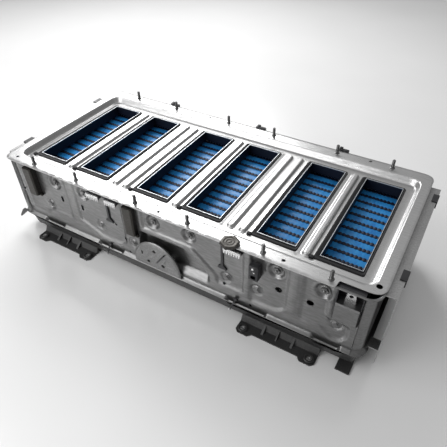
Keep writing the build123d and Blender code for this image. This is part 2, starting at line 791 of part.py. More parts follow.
tub_back = tub_front + recess_depth - recess_wall
bracket_bottom = recess_z - recess_height / 2 + recess_wall
bracket_top = bracket_bottom + 42
bracket_width = recess_length - 2 * recess_wall
with BuildPart() as recess_bracket:
    with Locations((recess_x, tub_back, bracket_bottom)):
        Box(bracket_width, recess_depth - recess_wall + 5, bracket_top - bracket_bottom,
            align=(Align.CENTER, Align.MAX, Align.MIN))
    chamfer(recess_bracket.faces().sort_by(Axis.Y)[0].edges().filter_by(Axis.X), 3)
recess_bracket.part.label = "recess_bracket"
export_step(recess_bracket.part, "parts/recess_bracket.step")

with BuildPart() as earth_tab:
    tab_y = tub_back - 12
    with Locations((recess_x, tab_y, bracket_top)):
        Box(20, 2, 26, align=(Align.CENTER, Align.MAX, Align.MIN))
        Box(20, 8, 2, align=(Align.CENTER, Align.MIN, Align.MIN))
earth_tab.part.label = "earth_tab"
export_step(earth_tab.part, "parts/earth_tab.step")

ledge_clip_places = [-158, 168]
with BuildPart() as ledge_clips:
    for clip_x in ledge_clip_places:
        ledge_front = case_front - ledge_width
        with BuildSketch(Plane.YZ.offset(clip_x - 4)) as clip_side:
            with BuildLine():
                Polyline((case_front, ledge_low + 18), (case_front - 2, ledge_low + 18),
                         (case_front - 2, ledge_low + 2), (ledge_front - 2, ledge_low + 2),
                         (ledge_front - 2, ledge_low - 16), (ledge_front, ledge_low - 16),
                         (ledge_front, ledge_low), (case_front, ledge_low), close=True)
            make_face()
        extrude(clip_side.sketch, amount=8)
ledge_clips.part.label = "ledge_clips"
export_step(ledge_clips.part, "parts/ledge_clips.step")

with BuildPart() as left_corner_bracket:
    gusset_x = -case_length / 2 - ledge_width
    with BuildSketch(Plane.XZ.offset(-case_front + 1)) as gusset_outline:
        with BuildLine():
            Polyline((gusset_x, case_bottom), (gusset_x + 16, case_bottom), (gusset_x - 18, 30),
                     (gusset_x - 18, 36), close=True)
        make_face()
    extrude(gusset_outline.sketch, amount=ledge_width - 1)
left_corner_bracket.part.label = "left_corner_bracket"
export_step(left_corner_bracket.part, "parts/left_corner_bracket.step")

with BuildPart() as right_corner_foot:
    corner_foot_x = case_length / 2 - 22
    with Locations((corner_foot_x, foot_edge + 14, 0)):
        Box(28, 30, member_sheet, align=(Align.CENTER, Align.MAX, Align.MIN))
        Box(28, member_sheet, member_height, align=(Align.CENTER, Align.MAX, Align.MIN))
right_corner_foot.part.label = "right_corner_foot"
export_step(right_corner_foot.part, "parts/right_corner_foot.step")
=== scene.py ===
import json
import math

import bmesh
import bpy
import numpy as np
from mathutils import Matrix, Vector
from mathutils.geometry import delaunay_2d_cdt


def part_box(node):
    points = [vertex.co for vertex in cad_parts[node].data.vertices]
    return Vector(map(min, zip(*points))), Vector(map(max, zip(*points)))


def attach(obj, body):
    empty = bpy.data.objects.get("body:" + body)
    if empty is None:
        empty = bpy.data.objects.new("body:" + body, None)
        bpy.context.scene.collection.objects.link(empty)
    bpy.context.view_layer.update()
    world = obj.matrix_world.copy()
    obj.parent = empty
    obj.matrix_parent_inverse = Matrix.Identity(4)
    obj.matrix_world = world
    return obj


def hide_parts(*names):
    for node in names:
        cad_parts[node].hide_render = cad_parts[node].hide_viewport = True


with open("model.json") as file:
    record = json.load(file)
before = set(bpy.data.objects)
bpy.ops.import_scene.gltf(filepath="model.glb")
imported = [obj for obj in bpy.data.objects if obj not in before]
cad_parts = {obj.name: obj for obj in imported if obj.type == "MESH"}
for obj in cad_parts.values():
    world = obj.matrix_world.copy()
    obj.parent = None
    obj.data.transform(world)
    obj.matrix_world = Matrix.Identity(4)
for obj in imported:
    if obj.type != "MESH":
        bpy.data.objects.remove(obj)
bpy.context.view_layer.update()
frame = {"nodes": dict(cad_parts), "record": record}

nodes = frame["nodes"]
scene = bpy.context.scene
scene.view_settings.view_transform = "Standard"


# --- Camera ---------------------------------------------------------------------------------------------

CAMERA_PLACE = Vector((0.4537, -0.7088, 0.7675))
CAMERA_TURN = math.radians(30.90)
CAMERA_DOWN = math.radians(42.42)
CAMERA_ROLL = math.radians(-0.76)
CAMERA_LENS = 36.24
CAMERA_SHIFT = 0.0324


def add_camera():
    """The camera looks down on the front right corner."""
    flat = math.cos(CAMERA_DOWN)
    ahead = Vector((-math.sin(CAMERA_TURN) * flat, math.cos(CAMERA_TURN) * flat, -math.sin(CAMERA_DOWN)))
    level = Vector((math.cos(CAMERA_TURN), math.sin(CAMERA_TURN), 0))
    above = level.cross(ahead)
    right = math.cos(CAMERA_ROLL) * level + math.sin(CAMERA_ROLL) * above
    up = math.cos(CAMERA_ROLL) * above - math.sin(CAMERA_ROLL) * level
    camera = bpy.data.objects.new("camera", bpy.data.cameras.new("camera"))
    scene.collection.objects.link(camera)
    turned = Matrix((right, up, -ahead)).transposed().to_4x4()
    camera.matrix_world = Matrix.Translation(CAMERA_PLACE) @ turned
    camera.data.sensor_width = 36
    camera.data.lens = CAMERA_LENS
    camera.data.shift_y = CAMERA_SHIFT
    camera.data.clip_start = 0.01
    scene.camera = camera


add_camera()


# --- Materials ------------------------------------------------------------------------------------------


class Graph:
    """A small helper that builds a material's node graph."""

    def __init__(self, name):
        self.material = bpy.data.materials.new(name)
        self.material.use_nodes = True
        self.tree = self.material.node_tree
        self.shader = self.tree.nodes["Principled BSDF"]
        self.place = self.tree.nodes.new("ShaderNodeTexCoord").outputs["Object"]

    def node(self, kind, inputs=(), **settings):
        made = self.tree.nodes.new(kind)
        for key, value in settings.items():
            setattr(made, key, value)
        for key, value in dict(inputs).items():
            self.put(made.inputs[key], value)
        return made

    def put(self, socket, value):
        if isinstance(value, bpy.types.NodeSocket):
            self.tree.links.new(value, socket)
        else:
            socket.default_value = value

    def noise(self, scale, detail=4.0, stretch=(1, 1, 1), rough=0.55):
        place = self.node("ShaderNodeMapping", {"Vector": self.place, "Scale": stretch}).outputs[0]
        made = self.node("ShaderNodeTexNoise",
                         {"Vector": place, "Scale": scale, "Detail": detail, "Roughness": rough})
        return made.outputs["Fac"]

    def spread(self, value, low, high, start=0.3, end=0.7):
        made = self.node("ShaderNodeMapRange", {"Value": value, "From Min": start, "From Max": end,
                                                "To Min": low, "To Max": high})
        return made.outputs["Result"]

    def mix(self, factor, first, second, blend="MIX"):
        made = self.node("ShaderNodeMix", data_type="RGBA", blend_type=blend)
        self.put(made.inputs["Factor"], factor)
        self.put(made.inputs[6], first)
        self.put(made.inputs[7], second)
        return made.outputs[2]

    def bump(self, height, strength, distance, normal=None):
        made = self.node("ShaderNodeBump", {"Height": height, "Strength": strength, "Distance": distance})
        if normal is not None:
            self.put(made.inputs["Normal"], normal)
        return made.outputs[0]

    def rounded(self, radius):
        return self.node("ShaderNodeBevel", {"Radius": radius}, samples=4).outputs[0]

    def set(self, **values):
        for key, value in values.items():
            self.put(self.shader.inputs[key.replace("_", " ")], value)
        return self.material


def grey(value, tint=(1, 1, 1)):
    return (value * tint[0], value * tint[1], value * tint[2], 1)


def metal(name, light, dark, roughness, grain=60, streaks=(1, 1, 1), relief=0.0002, edge=0.0006,
          metallic=0.9, tint=(1, 1, 1), spread=0.08):
    """Rolled, plated or painted metal: cloudy tone, fine grain, uneven gloss and softened edges."""
    g = Graph(name)
    cloud = g.noise(9, 3)
    fine = g.noise(grain, 5, streaks)
    tone = g.mix(g.spread(cloud, 0, 1), grey(dark, tint), grey(light, tint))
    tone = g.mix(g.spread(fine, 0.0, 0.35), tone, grey(0.5 * dark, tint), "MULTIPLY")
    gloss = g.spread(fine, roughness - spread, roughness + spread)
    normal = g.bump(fine, 0.25, relief, g.rounded(edge))
    return g.set(Base_Color=tone, Metallic=metallic, Roughness=gloss, Normal=normal)


def plastic(name, colour, roughness, grain=400, relief=0.0001, edge=0.0006, gloss=0.5):
    """Moulded plastic or rubber: a slight cloudiness and a fine moulded grain."""
    g = Graph(name)
    cloud = g.noise(25, 3)
    fine = g.noise(grain, 4)
    pale = tuple(min(1, c * 1.35 + 0.01) for c in colour[:3]) + (1,)
    tone = g.mix(g.spread(cloud, 0, 0.8), colour, pale)
    normal = g.bump(fine, 0.3, relief, g.rounded(edge))
    return g.set(Base_Color=tone, Roughness=g.spread(fine, roughness - 0.06, roughness + 0.1), Normal=normal,
                 Specular_IOR_Level=gloss)


def film(name):
    """Blue shrink film over a cell: fine wrinkles across it, paler where the wrinkle pattern is high."""
    g = Graph(name)
    wrinkle = g.noise(180, 5, (1, 0.25, 1))
    cloud = g.noise(40, 3)
    tone = g.mix(g.spread(cloud, 0, 1), (0.006, 0.12, 0.40, 1), (0.016, 0.22, 0.58, 1))
    tone = g.mix(g.spread(wrinkle, 0, 0.5), tone, (0.05, 0.36, 0.72, 1))
    normal = g.bump(wrinkle, 0.5, 0.0006, g.rounded(0.001))
    return g.set(Base_Color=tone, Roughness=g.spread(wrinkle, 0.3, 0.5), Normal=normal, Specular_IOR_Level=0.35)


def collar_steel_painted_shade(name):
    """Folded steel round a window: bright steel along its top edge, with painted shade below it, near-black on the
    inner walls.
    """
    g = Graph(name)
    height = g.node("ShaderNodeSeparateXYZ", {"Vector": g.place}).outputs["Z"]
    lip = g.spread(height, 0, 1, 0.2022, 0.2030)
    fine = g.noise(400, 4)
    # Below the lip the steel is painted near-black and not metallic: painted shade on the window's inner walls.
    tone = g.mix(lip, (0.006, 0.008, 0.016, 1), (0.62, 0.64, 0.66, 1))
    return g.set(Base_Color=tone, Metallic=g.spread(lip, 0.0, 0.9, 0, 1), Roughness=g.spread(fine, 0.36, 0.5),
                 Normal=g.bump(fine, 0.3, 0.0001), Specular_IOR_Level=0.2)


finishes = {
    "cover_steel": metal("cover_steel", 0.66, 0.58, 0.34, grain=500, streaks=(0.1, 1, 1)),
    "case_steel": metal("case_steel", 0.26, 0.22, 0.32, grain=300, streaks=(0.2, 1, 1), relief=0.00002, spread=0.02),
    "dark_steel": metal("dark_steel", 0.07, 0.045, 0.45, grain=350, metallic=0.5),
    "side_steel": metal("side_steel", 0.5, 0.42, 0.36, grain=300),
    "bright_steel": metal("bright_steel", 0.75, 0.66, 0.25, grain=500),
    "fastener_steel": metal("fastener_steel", 0.6, 0.5, 0.3, grain=500),
    "stud_steel": metal("stud_steel", 0.2, 0.12, 0.38, grain=500),
    "nut_steel": metal("nut_steel", 0.26, 0.18, 0.36, grain=500),
    "channel_steel": metal("channel_steel", 0.085, 0.055, 0.42, grain=350, tint=(1, 0.95, 0.88)),
    "arch_steel": metal("arch_steel", 0.3, 0.22, 0.38, grain=300),
    "end_plate_alloy": metal("end_plate_alloy", 0.6, 0.52, 0.4, grain=400),
    "copper": metal("copper", 0.9, 0.75, 0.3, tint=(1, 0.62, 0.42)),
    "rubber": plastic("rubber", (0.004, 0.004, 0.005, 1), 0.6, gloss=0.25),
    "cell_film": film("cell_film"),
    # Near-black navy: the separators' own plastic, made this dark to stand for the shade between the cells too, so
    # partly painted shade.
    "separator_plastic": plastic("separator_plastic", (0.002, 0.006, 0.022, 1), 0.5, gloss=0.25),
    "board_green": plastic("board_green", (0.01, 0.08, 0.03, 1), 0.4),
    "black_plastic": plastic("black_plastic", (0.012, 0.012, 0.014, 1), 0.42),
}

# The air collars get this steel, with painted shade on their inner walls.
collar_material_with_painted_shade = collar_steel_painted_shade("collar_steel_painted_shade")
for row in frame["record"]["subparts"]:
    for material_slot in nodes[row["node"]].material_slots:
        collar = row["node"].startswith("air_collar")
        material_slot.material = collar_material_with_painted_shade if collar else finishes[row["material_slot"]]




# --- Sheet metal and other mesh helpers -----------------------------------------------------------------

MM = 0.001
SHEET = 1.6


def box_mm(node):
    """Lowest and highest corner of a CAD node, in millimetres."""
    low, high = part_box(node)
    return np.array(low) / MM, np.array(high) / MM


def arc(centre, radius, start, end, steps):
    """Points of an arc, angles in degrees."""
    turn = np.radians(np.linspace(start, end, steps))
    return [(centre[0] + radius * math.cos(a), centre[1] + radius * math.sin(a)) for a in turn]


def circle(centre, radius, steps=24):
    return arc(centre, radius, 0, 360, steps + 1)[:-1]


def rounded_corners(corners, radius, steps=6):
    """A closed outline through the corners, each rounded off."""
    out = []
    for before, at, after in zip([corners[-1]] + corners[:-1], corners, corners[1:] + corners[:1]):
        at, before, after = Vector(at), Vector(before), Vector(after)
        first, last = at + (before - at).normalized() * radius, at + (after - at).normalized() * radius
        for t in np.linspace(0, 1, steps):
            out.append(tuple((1 - t) ** 2 * first + 2 * t * (1 - t) * at + t * t * last))
    return out


def rectangle(centre, length, depth):
    x, y = centre
    return [(x - length / 2, y - depth / 2), (x + length / 2, y - depth / 2),
            (x + length / 2, y + depth / 2), (x - length / 2, y + depth / 2)]


def divided(loop, spacing):
    """The same closed outline with points no further apart than spacing."""
    out = []
    for start, end in zip(loop, loop[1:] + loop[:1]):
        start, end = np.array(start, float), np.array(end, float)
        count = max(1, math.ceil(np.linalg.norm(end - start) / spacing))
        out += [tuple(start + (end - start) * k / count) for k in range(count)]
    return out


def distance_inside(points, loop):
    """Distance from each point to a closed outline, positive inside it."""
    loop = np.array(loop, float)
    nearest = np.full(len(points), 1e9)
    inside = np.zeros(len(points), bool)
    px, py = points[:, 0], points[:, 1]
    for (ax, ay), (bx, by) in zip(loop, np.roll(loop, -1, 0)):
        dx, dy = bx - ax, by - ay
        t = np.clip(((px - ax) * dx + (py - ay) * dy) / max(dx * dx + dy * dy, 1e-12), 0, 1)
        nearest = np.minimum(nearest, np.hypot(px - ax - t * dx, py - ay - t * dy))
        if ay != by:
            inside ^= ((ay > py) != (by > py)) & (px < ax + (py - ay) * dx / (by - ay))
    return np.where(inside, nearest, -nearest)


class Relief:
    """The pressed shape of a sheet, sampled every millimetre over a rectangle."""

    def __init__(self, low, high, edge=4):
        self.low = np.array(low, float) - edge
        spans = [np.arange(a - edge, b + edge + 1.0) for a, b in zip(low, high)]
        self.u, self.v = np.meshgrid(*spans, indexing="ij")
        self.height = np.zeros(self.u.shape)
        self.points = np.column_stack([self.u.ravel(), self.v.ravel()])

    def mask(self, loop, soft, inset=0.0, ramp=1.0):
        """1 inside the outline, less the inset, and 0 outside, with a slope ramp wide, smoothed by soft."""
        near = np.array(loop)
        reach = 3 * soft + ramp + 2
        picked = np.all((self.points > near.min(0) - reach) & (self.points < near.max(0) + reach), axis=1)
        value = np.zeros(len(self.points))
        value[picked] = np.clip(0.5 + (distance_inside(self.points[picked], loop) - inset) / ramp, 0, 1)
        value = value.reshape(self.u.shape)
        taps = np.arange(-math.ceil(3 * soft), math.ceil(3 * soft) + 1)
        weights = np.exp(-0.5 * (taps / soft) ** 2)
        weights /= weights.sum()
        for axis in (0, 1):
            top = value.shape[axis] - 1
            shifts = [np.clip(np.arange(top + 1) + k, 0, top) for k in taps]
            value = sum(w * np.take(value, rows, axis) for w, rows in zip(weights, shifts))
        return value

    def sample(self, grid, points):
        """Bilinear value of a grid at points."""
        place = np.clip(points - self.low, 0, np.array(grid.shape) - 1.001)
        cell = np.floor(place).astype(int)
        fx, fy = (place - cell).T
        i, j = cell.T
        return ((1 - fx) * (1 - fy) * grid[i, j] + fx * (1 - fy) * grid[i + 1, j]
                + (1 - fx) * fy * grid[i, j + 1] + fx * fy * grid[i + 1, j + 1])

    def at(self, points):
        """Height and its two slopes at points."""
        slopes = np.gradient(self.height)
        return [self.sample(grid, points) for grid in (self.height, slopes[0], slopes[1])]


def add_mesh(name, points, faces, finish, normals=None, smooth=True, replaces=()):
    """A piece of the pack from points in millimetres; normals has one normal per face corner."""
    mesh = bpy.data.meshes.new(name)
    mesh.from_pydata((np.array(points) * MM).tolist(), [], [tuple(map(int, f)) for f in faces])
    mesh.materials.append(finishes[finish])
    mesh.polygons.foreach_set("use_smooth", [smooth] * len(mesh.polygons))
    if normals is not None:
        mesh.normals_split_custom_set(normals)
    elif smooth:
        mesh.set_sharp_from_angle(angle=math.radians(35))
    piece = bpy.data.objects.new(name, mesh)
    scene.collection.objects.link(piece)
    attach(piece, "root")
    if replaces:
        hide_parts(*replaces)
    return piece


def pressed_sheet(name, outline, holes, lines, shape, finish, replaces, thick=SHEET):
    """A closed sheet over a flat outline with holes; shape gives each point's place and normal."""
    grid = np.array([(u, v) for u in lines[0] for v in lines[1]])

    def room(points):
        free = distance_inside(points, outline)
        for hole in holes:
            near = np.array(hole)
            close = np.all((points > near.min(0) - 3) & (points < near.max(0) + 3), axis=1)
            free[close] = np.minimum(free[close], -distance_inside(points[close], hole))
        return free

    grid = grid[room(grid) > 0.7]
    loops = [outline] + holes
    flat = [tuple(p) for loop in loops for p in loop] + [tuple(p) for p in grid]
    edges, start = [], 0
    for loop in loops:
        count = len(loop)
        edges += [(start + k, start + (k + 1) % count) for k in range(count)]
        start += count
    flat, _, faces = delaunay_2d_cdt([Vector(p) for p in flat], edges, [], 0, 1e-5)[:3]
    flat, faces = np.array(flat), np.array(faces)
    faces = faces[room(flat[faces].mean(1)) > 0]
    corners = flat[faces]
    sides = corners[:, 1:] - corners[:, :1]
    turned = sides[:, 0, 0] * sides[:, 1, 1] - sides[:, 0, 1] * sides[:, 1, 0] < 0
    faces[turned] = faces[turned][:, ::-1]
    place, normal = shape(flat)
    count = len(flat)
    points = np.vstack([place, place - thick * normal])
    ends = {(a, b) for f in faces for a, b in zip(f, np.roll(f, -1))}
    rim = [(a, b) for a, b in ends if (b, a) not in ends]
    walls = [(a, a + count, b + count, b) for a, b in sorted(rim)]
    all_faces = faces.tolist() + (faces[:, ::-1] + count).tolist() + walls
    loop_normals = [normal[i] for f in faces for i in f] + [-normal[i] for f in faces[:, ::-1] for i in f]
    for a, b, c, d in walls:
        across = np.cross(points[b] - points[a], points[d] - points[a])
        across /= max(np.linalg.norm(across), 1e-9)
        loop_normals += [across] * 4
    return add_mesh(name, points, all_faces, finish, loop_normals, replaces=replaces)


def stops(low, high, coarse, features=(), fine=1.5, reach=8):
    """Grid lines from low to high, closer together around each feature."""
    out, at = [low], low
    while at < high:
        near = any(abs(at - f) < reach for f in features)
        at = min(high, at + (fine if near else coarse))
        out.append(at)
    return out


def swept(name, profiles, finish, closed_path=True, closed_profile=True, replaces=()):
    """A skin over rows of profile points, row after row along a path."""
    rows, count = len(profiles), len(profiles[0])
    faces = []
    for r in range(rows if closed_path else rows - 1):
        for k in range(count if closed_profile else count - 1):
            a, b = r * count + k, r * count + (k + 1) % count
            c, d = ((r + 1) % rows) * count + (k + 1) % count, ((r + 1) % rows) * count + k
            faces.append((a, d, c, b))
    if not closed_path and closed_profile:
        faces += [tuple(range(count)), tuple(range((rows - 1) * count, rows * count))[::-1]]
    return add_mesh(name, [p for row in profiles for p in row], faces, finish, replaces=replaces)


class Solid:
    """Collects softened blocks, rods and plates into one piece."""

    def __init__(self):
        self.mesh = bmesh.new()

    def block(self, centre, size, soft=0.6, turn=None):
        made = bmesh.ops.create_cube(self.mesh, size=1)["verts"]
        matrix = Matrix.Translation(centre) @ (turn or Matrix.Identity(4)) @ Matrix.Diagonal((*size, 1))
        bmesh.ops.transform(self.mesh, matrix=matrix, verts=made)
        self.soften(made, soft)

    def prism(self, outline, place, depth, soft=0.6):
        """A flat outline placed in space by place(u, v, w), w from 0 to depth."""
        low = [self.mesh.verts.new(place(u, v, 0)) for u, v in outline]
        high = [self.mesh.verts.new(place(u, v, depth)) for u, v in outline]
        self.mesh.faces.new(low[::-1])
        self.mesh.faces.new(high)
        for k in range(len(low)):
            n = (k + 1) % len(low)
            self.mesh.faces.new((low[k], low[n], high[n], high[k]))
        self.soften(low + high, soft)

    def turned(self, centre, axis, profile, steps=24):
        """A turned shape; profile is (radius, height) along the axis."""
        turn = Vector((0, 0, 1)).rotation_difference(Vector(axis)).to_matrix()
        rings = []
        for radius, height in profile:
            ring = [turn @ Vector((radius * math.cos(a), radius * math.sin(a), height)) + Vector(centre)
                    for a in np.linspace(0, 2 * math.pi, steps, endpoint=False)]
            rings.append([self.mesh.verts.new(p) for p in ring])
        for low, high in zip(rings, rings[1:]):
            for k in range(steps):
                n = (k + 1) % steps
                self.mesh.faces.new((low[k], low[n], high[n], high[k]))
        self.mesh.faces.new(rings[0][::-1])
        self.mesh.faces.new(rings[-1])

    def soften(self, verts, soft):
        if soft > 0:
            edges = {e for v in verts for e in v.link_edges}
            sharp = [e for e in edges if len(e.link_faces) == 2 and e.calc_face_angle(0) > 0.5]
            bmesh.ops.bevel(self.mesh, geom=sharp, offset=soft, segments=2, profile=0.5, affect="EDGES")

    def finish(self, name, finish, replaces=()):
        bmesh.ops.recalc_face_normals(self.mesh, faces=self.mesh.faces)
        points = [v.co.copy() for v in self.mesh.verts]
        self.mesh.verts.index_update()
        faces = [[v.index for v in f.verts] for f in self.mesh.faces]
        self.mesh.free()
        return add_mesh(name, points, faces, finish, replaces=replaces)


# --- Top cover ------------------------------------------------------------------------------------------

cover_low, cover_high = box_mm("top_cover")
case_low, case_high = box_mm("case_body")
rim = cover_high[2]
half_cover = cover_high[:2]
seal_boxes = [box_mm(f"window_seal_{n}") for n in range(1, 7)]
window_x = [(box_mm(f"module_{n}_cells")[0][0] + box_mm(f"module_{n}_cells")[1][0]) / 2 for n in range(1, 7)]
pair_middles = [(window_x[n] + window_x[n + 1]) / 2 for n in (0, 2, 4)]
twin_middles = [(window_x[n] + window_x[n + 1]) / 2 for n in (1, 3)]
bead_x = pair_middles + [x + side * 13 for x in twin_middles for side in (-1, 1)]
DISH = (832, 340)
DISH_DROP = 15
BEAD_LENGTH = 290
NOTCH_X = 360
NOTCH_Y = -185


def build_cover():
    x1, y1 = half_cover
    relief = Relief((-x1, -y1), (x1, y1))
    dish = rounded_corners(rectangle((0, 0), DISH[0] - 5, DISH[1] - 5), 20, 8)
    relief.height -= DISH_DROP * relief.mask(dish, 1.8)
    for x in bead_x:
        bead = rounded_corners(rectangle((x, 0), 12, BEAD_LENGTH - 3), 5.5)
        relief.height += 6 * relief.mask(bead, 0.85)
    for x in window_x:
        land = rounded_corners(rectangle((x, 0), 98, 298), 9)
        relief.height += 0.8 * relief.mask(land, 1.2)
    edge = rounded_corners(rectangle((0, 0), 2 * x1 - 3, 2 * y1 - 3), 24, 8)
    relief.height += 1.2 * (relief.mask(edge, 1.0) - 1)
    outline = [(-x1, -y1), (NOTCH_X, -y1), (NOTCH_X + 2, NOTCH_Y), (x1, NOTCH_Y), (x1, y1), (-x1, y1)]
    radii = [25, 3, 3, 25, 25, 25]
    loop = []
    for k, radius in enumerate(radii):
        around = [outline[k - 1], outline[k], outline[(k + 1) % 6]]
        at, before, after = Vector(around[1]), Vector(around[0]), Vector(around[2])
        first = at + (before - at).normalized() * radius
        last = at + (after - at).normalized() * radius
        for t in np.linspace(0, 1, 8):
            loop.append(tuple((1 - t) ** 2 * first + 2 * t * (1 - t) * at + t * t * last))
    holes = [divided(rounded_corners(rectangle((x, 0), 84, 284), 4), 6) for x in window_x]
    holes += [circle(p, 3.5, 16) for p in [(-406, -185), (-5, -188), (262, -188), (300, 190), (-120, 190)]]
    holes.append(circle((422, -165), 5.5, 20))
    features_x = [s * (DISH[0] / 2 - 2.5) for s in (-1, 1)] + bead_x + [-x1, x1]
    features_y = [s * (DISH[1] / 2 - 2.5) for s in (-1, 1)] + [s * BEAD_LENGTH / 2 for s in (-1, 1)]
    lines = (stops(-x1 + 1, x1 - 1, 6, features_x, 1.2, 9), stops(-y1 + 1, y1 - 1, 6, features_y, 1.2, 8))

    def shape(flat):
        height, slope_x, slope_y = relief.at(flat)
        normal = np.column_stack([-slope_x, -slope_y, np.ones(len(flat))])
        normal /= np.linalg.norm(normal, axis=1)[:, None]
        return np.column_stack([flat, rim + height]), normal

    pressed_sheet("cover_sheet", divided(loop, 5), holes, lines, shape, "cover_steel", ["top_cover"])


build_cover()




# --- Pressed case ---------------------------------------------------------------------------------------

WALL_X, WALL_Y = 430, 195
WALL_CORNER = 18
LEDGE, LEDGE_REACH = 62, 8
FLANGE_REACH = 6.0
BEND = 4.0
LEDGE_TURN = math.radians(62)
wall_top = rim - 2 * SHEET
PANEL_TOP = wall_top - 1
front_flat = WALL_X - WALL_CORNER
PANELS = [
    [(-404, 84), (-338, 84), (-324, 98), (-258, 98), (-258, PANEL_TOP), (-404, PANEL_TOP)],
    [(-236, 106), (-174, 80), (-112, 80), (-100, 92), (-100, PANEL_TOP), (-236, PANEL_TOP)],
    [(-50, 158), (70, 158), (126, 108), (126, 90), (190, 90), (190, PANEL_TOP), (-50, PANEL_TOP)],
    [(200, 80), (262, 80), (280, 98), (280, PANEL_TOP), (200, PANEL_TOP)],
    [(303, 92), (354, 88), (364, 76), (390, 76), (400, 88), (400, 124), (356, 124), (356, PANEL_TOP),
     (303, PANEL_TOP)],
]
DEEP_PANEL = [(-62, 148), (60, 148), (112, 104), (112, 76), (-62, 76)]
LOW_LEDGES = [(-352, -304), (-180, -122), (158, 236), (343, 386)]
NUTS = [(-292, 185), (-209, 185), (-21, 184), (66, 186), (252, 185), (342, 183)]
SCREWS = [(-329, 113), (-175, 112), (150, 114), (216, 114), (374, 112)]
LOW_SCREW = (-81, 103)
SLOTS = [(-283, 143), (-222, 142)]
RECESS = (364, 130.8, 410, 210.8)


def shift_profile(v):
    """Reach outward and height of the wall's outer face at v, with the bends to the ledge and the flange."""
    turn_low = np.clip((LEDGE + BEND - v) / BEND, 0, LEDGE_TURN)
    turn_high = np.clip((v - wall_top + BEND) / BEND, 0, math.pi / 2)
    past_low = np.clip(LEDGE + BEND - BEND * LEDGE_TURN - v, 0, None)
    past_high = np.clip(v - wall_top + BEND - BEND * math.pi / 2, 0, None)
    reach = BEND * (1 - np.cos(turn_low)) + past_low * math.sin(LEDGE_TURN)
    reach += BEND * (1 - np.cos(turn_high)) + past_high
    height = np.clip(v, LEDGE + BEND, wall_top - BEND) + BEND * np.sin(turn_high)
    height -= BEND * np.sin(turn_low) + past_low * math.cos(LEDGE_TURN)
    return reach, height, turn_low - turn_high


LEDGE_START = LEDGE + BEND * (1 - LEDGE_TURN)
LEDGE_START -= (LEDGE_REACH - BEND * (1 - math.cos(LEDGE_TURN))) / math.sin(LEDGE_TURN)
FLANGE_END = wall_top - BEND + BEND * math.pi / 2 + (FLANGE_REACH - BEND)


def ledge_fall(x):
    """How far the ledge steps down at x."""
    fall = np.zeros_like(x)
    for left, right in LOW_LEDGES:
        t = np.clip(np.minimum(x - left + 9, right + 9 - x) / 9, 0, 1)
        fall = np.maximum(fall, 8 * t * t * (3 - 2 * t))
    return fall


def build_front():
    relief = Relief((-front_flat, 55), (front_flat, 220))
    for corners in PANELS:
        relief.height = np.maximum(relief.height, 4 * relief.mask(rounded_corners(corners, 9), 1.2, 2.6, 6.4))
    deep = rounded_corners(DEEP_PANEL, 12)
    relief.height = np.maximum(relief.height, 14 * relief.mask(deep, 1.8, 5.0, 10))
    for at in NUTS:
        relief.height += 5 * relief.mask(circle(at, 14.8, 32), 1.1, 0, 5)
        relief.height -= 0.8 * relief.mask(circle(at, 21.5, 32), 1.2) * (1 - relief.mask(circle(at, 16, 32), 1.2))
    for at in SCREWS + [LOW_SCREW]:
        relief.height += 2.6 * relief.mask(circle(at, 13, 32), 1.0, 0, 3) * (1 - relief.mask(circle(at, 8.5, 32), 0.9))
    for left, right, low in ((-256, -240, 92), (286, 298, 96)):
        rib = [(left, low), (right, low), (right, PANEL_TOP - 4), (left, PANEL_TOP - 4)]
        relief.height -= 1.0 * relief.mask(rounded_corners(rib, 5), 2)
    reach = (RECESS[0] - 2, RECESS[1] - 2, RECESS[2] + 2, 216)
    lip = [(reach[0], reach[1]), (reach[2], reach[1]), (reach[2], reach[3]), (reach[0], reach[3])]
    relief.height += 2.0 * relief.mask(lip, 1.2)

    outline = rectangle((0, (LEDGE_START + FLANGE_END) / 2), 2 * front_flat, FLANGE_END - LEDGE_START)
    x0, z0, x1, z1 = RECESS
    mouth = rounded_corners([(x0, z0), (x1, z0), (x1, z1 - 1), (x0, z1 - 1)], 3)
    holes = [divided(mouth, 3)]
    for x, z in SLOTS:
        holes.append(arc((x, z + 4.5), 3.5, 0, 180, 9) + arc((x, z - 4.5), 3.5, 180, 360, 9))
    holes += [circle(at, 7) for at in ((260, 140), (322, 140))]
    holes += [circle(at, 3, 14) for at in ((-406, 134), (-127, 133), (145, 95), (-96, 68), (206, 72))]
    holes.append(rounded_corners([(-109, 97), (-101, 97), (-101, 105), (-109, 105)], 3.9))
    edges = sorted({LEDGE_START, LEDGE + BEND, wall_top - BEND, FLANGE_END})
    lines_z = stops(LEDGE_START + 0.9, FLANGE_END - 0.9, 2.0, edges, 0.9, 4.5)
    lines_x = stops(1 - front_flat, front_flat - 1, 2.1)

    def shape(flat):
        x, v = flat.T
        out, z, turn = shift_profile(v)
        depth, slope_x, slope_v = relief.at(flat)
        fade = np.clip((v - LEDGE - BEND) / 6, 0, 1) * np.clip((wall_top - BEND + 1 - v) / 3, 0, 1)
        fall = ledge_fall(x) * np.clip((LEDGE + 24 - v) / 18, 0, 1)
        place = np.column_stack([x, -WALL_Y - out + depth * fade, z - fall])
        slope_x, slope_v = slope_x * fade, slope_v * fade
        fall_x = (ledge_fall(x + 0.5) - ledge_fall(x - 0.5)) * np.clip((LEDGE + 24 - v) / 18, 0, 1)
        ahead, lift = np.cos(turn), np.sin(turn)
        normal = np.column_stack([slope_x * ahead + fall_x * lift, -ahead, slope_v * ahead + lift])
        normal /= np.linalg.norm(normal, axis=1)[:, None]
        return place, normal

    return pressed_sheet("case_front", outline, holes, (lines_x, lines_z), shape, "case_steel", ["case_body"])


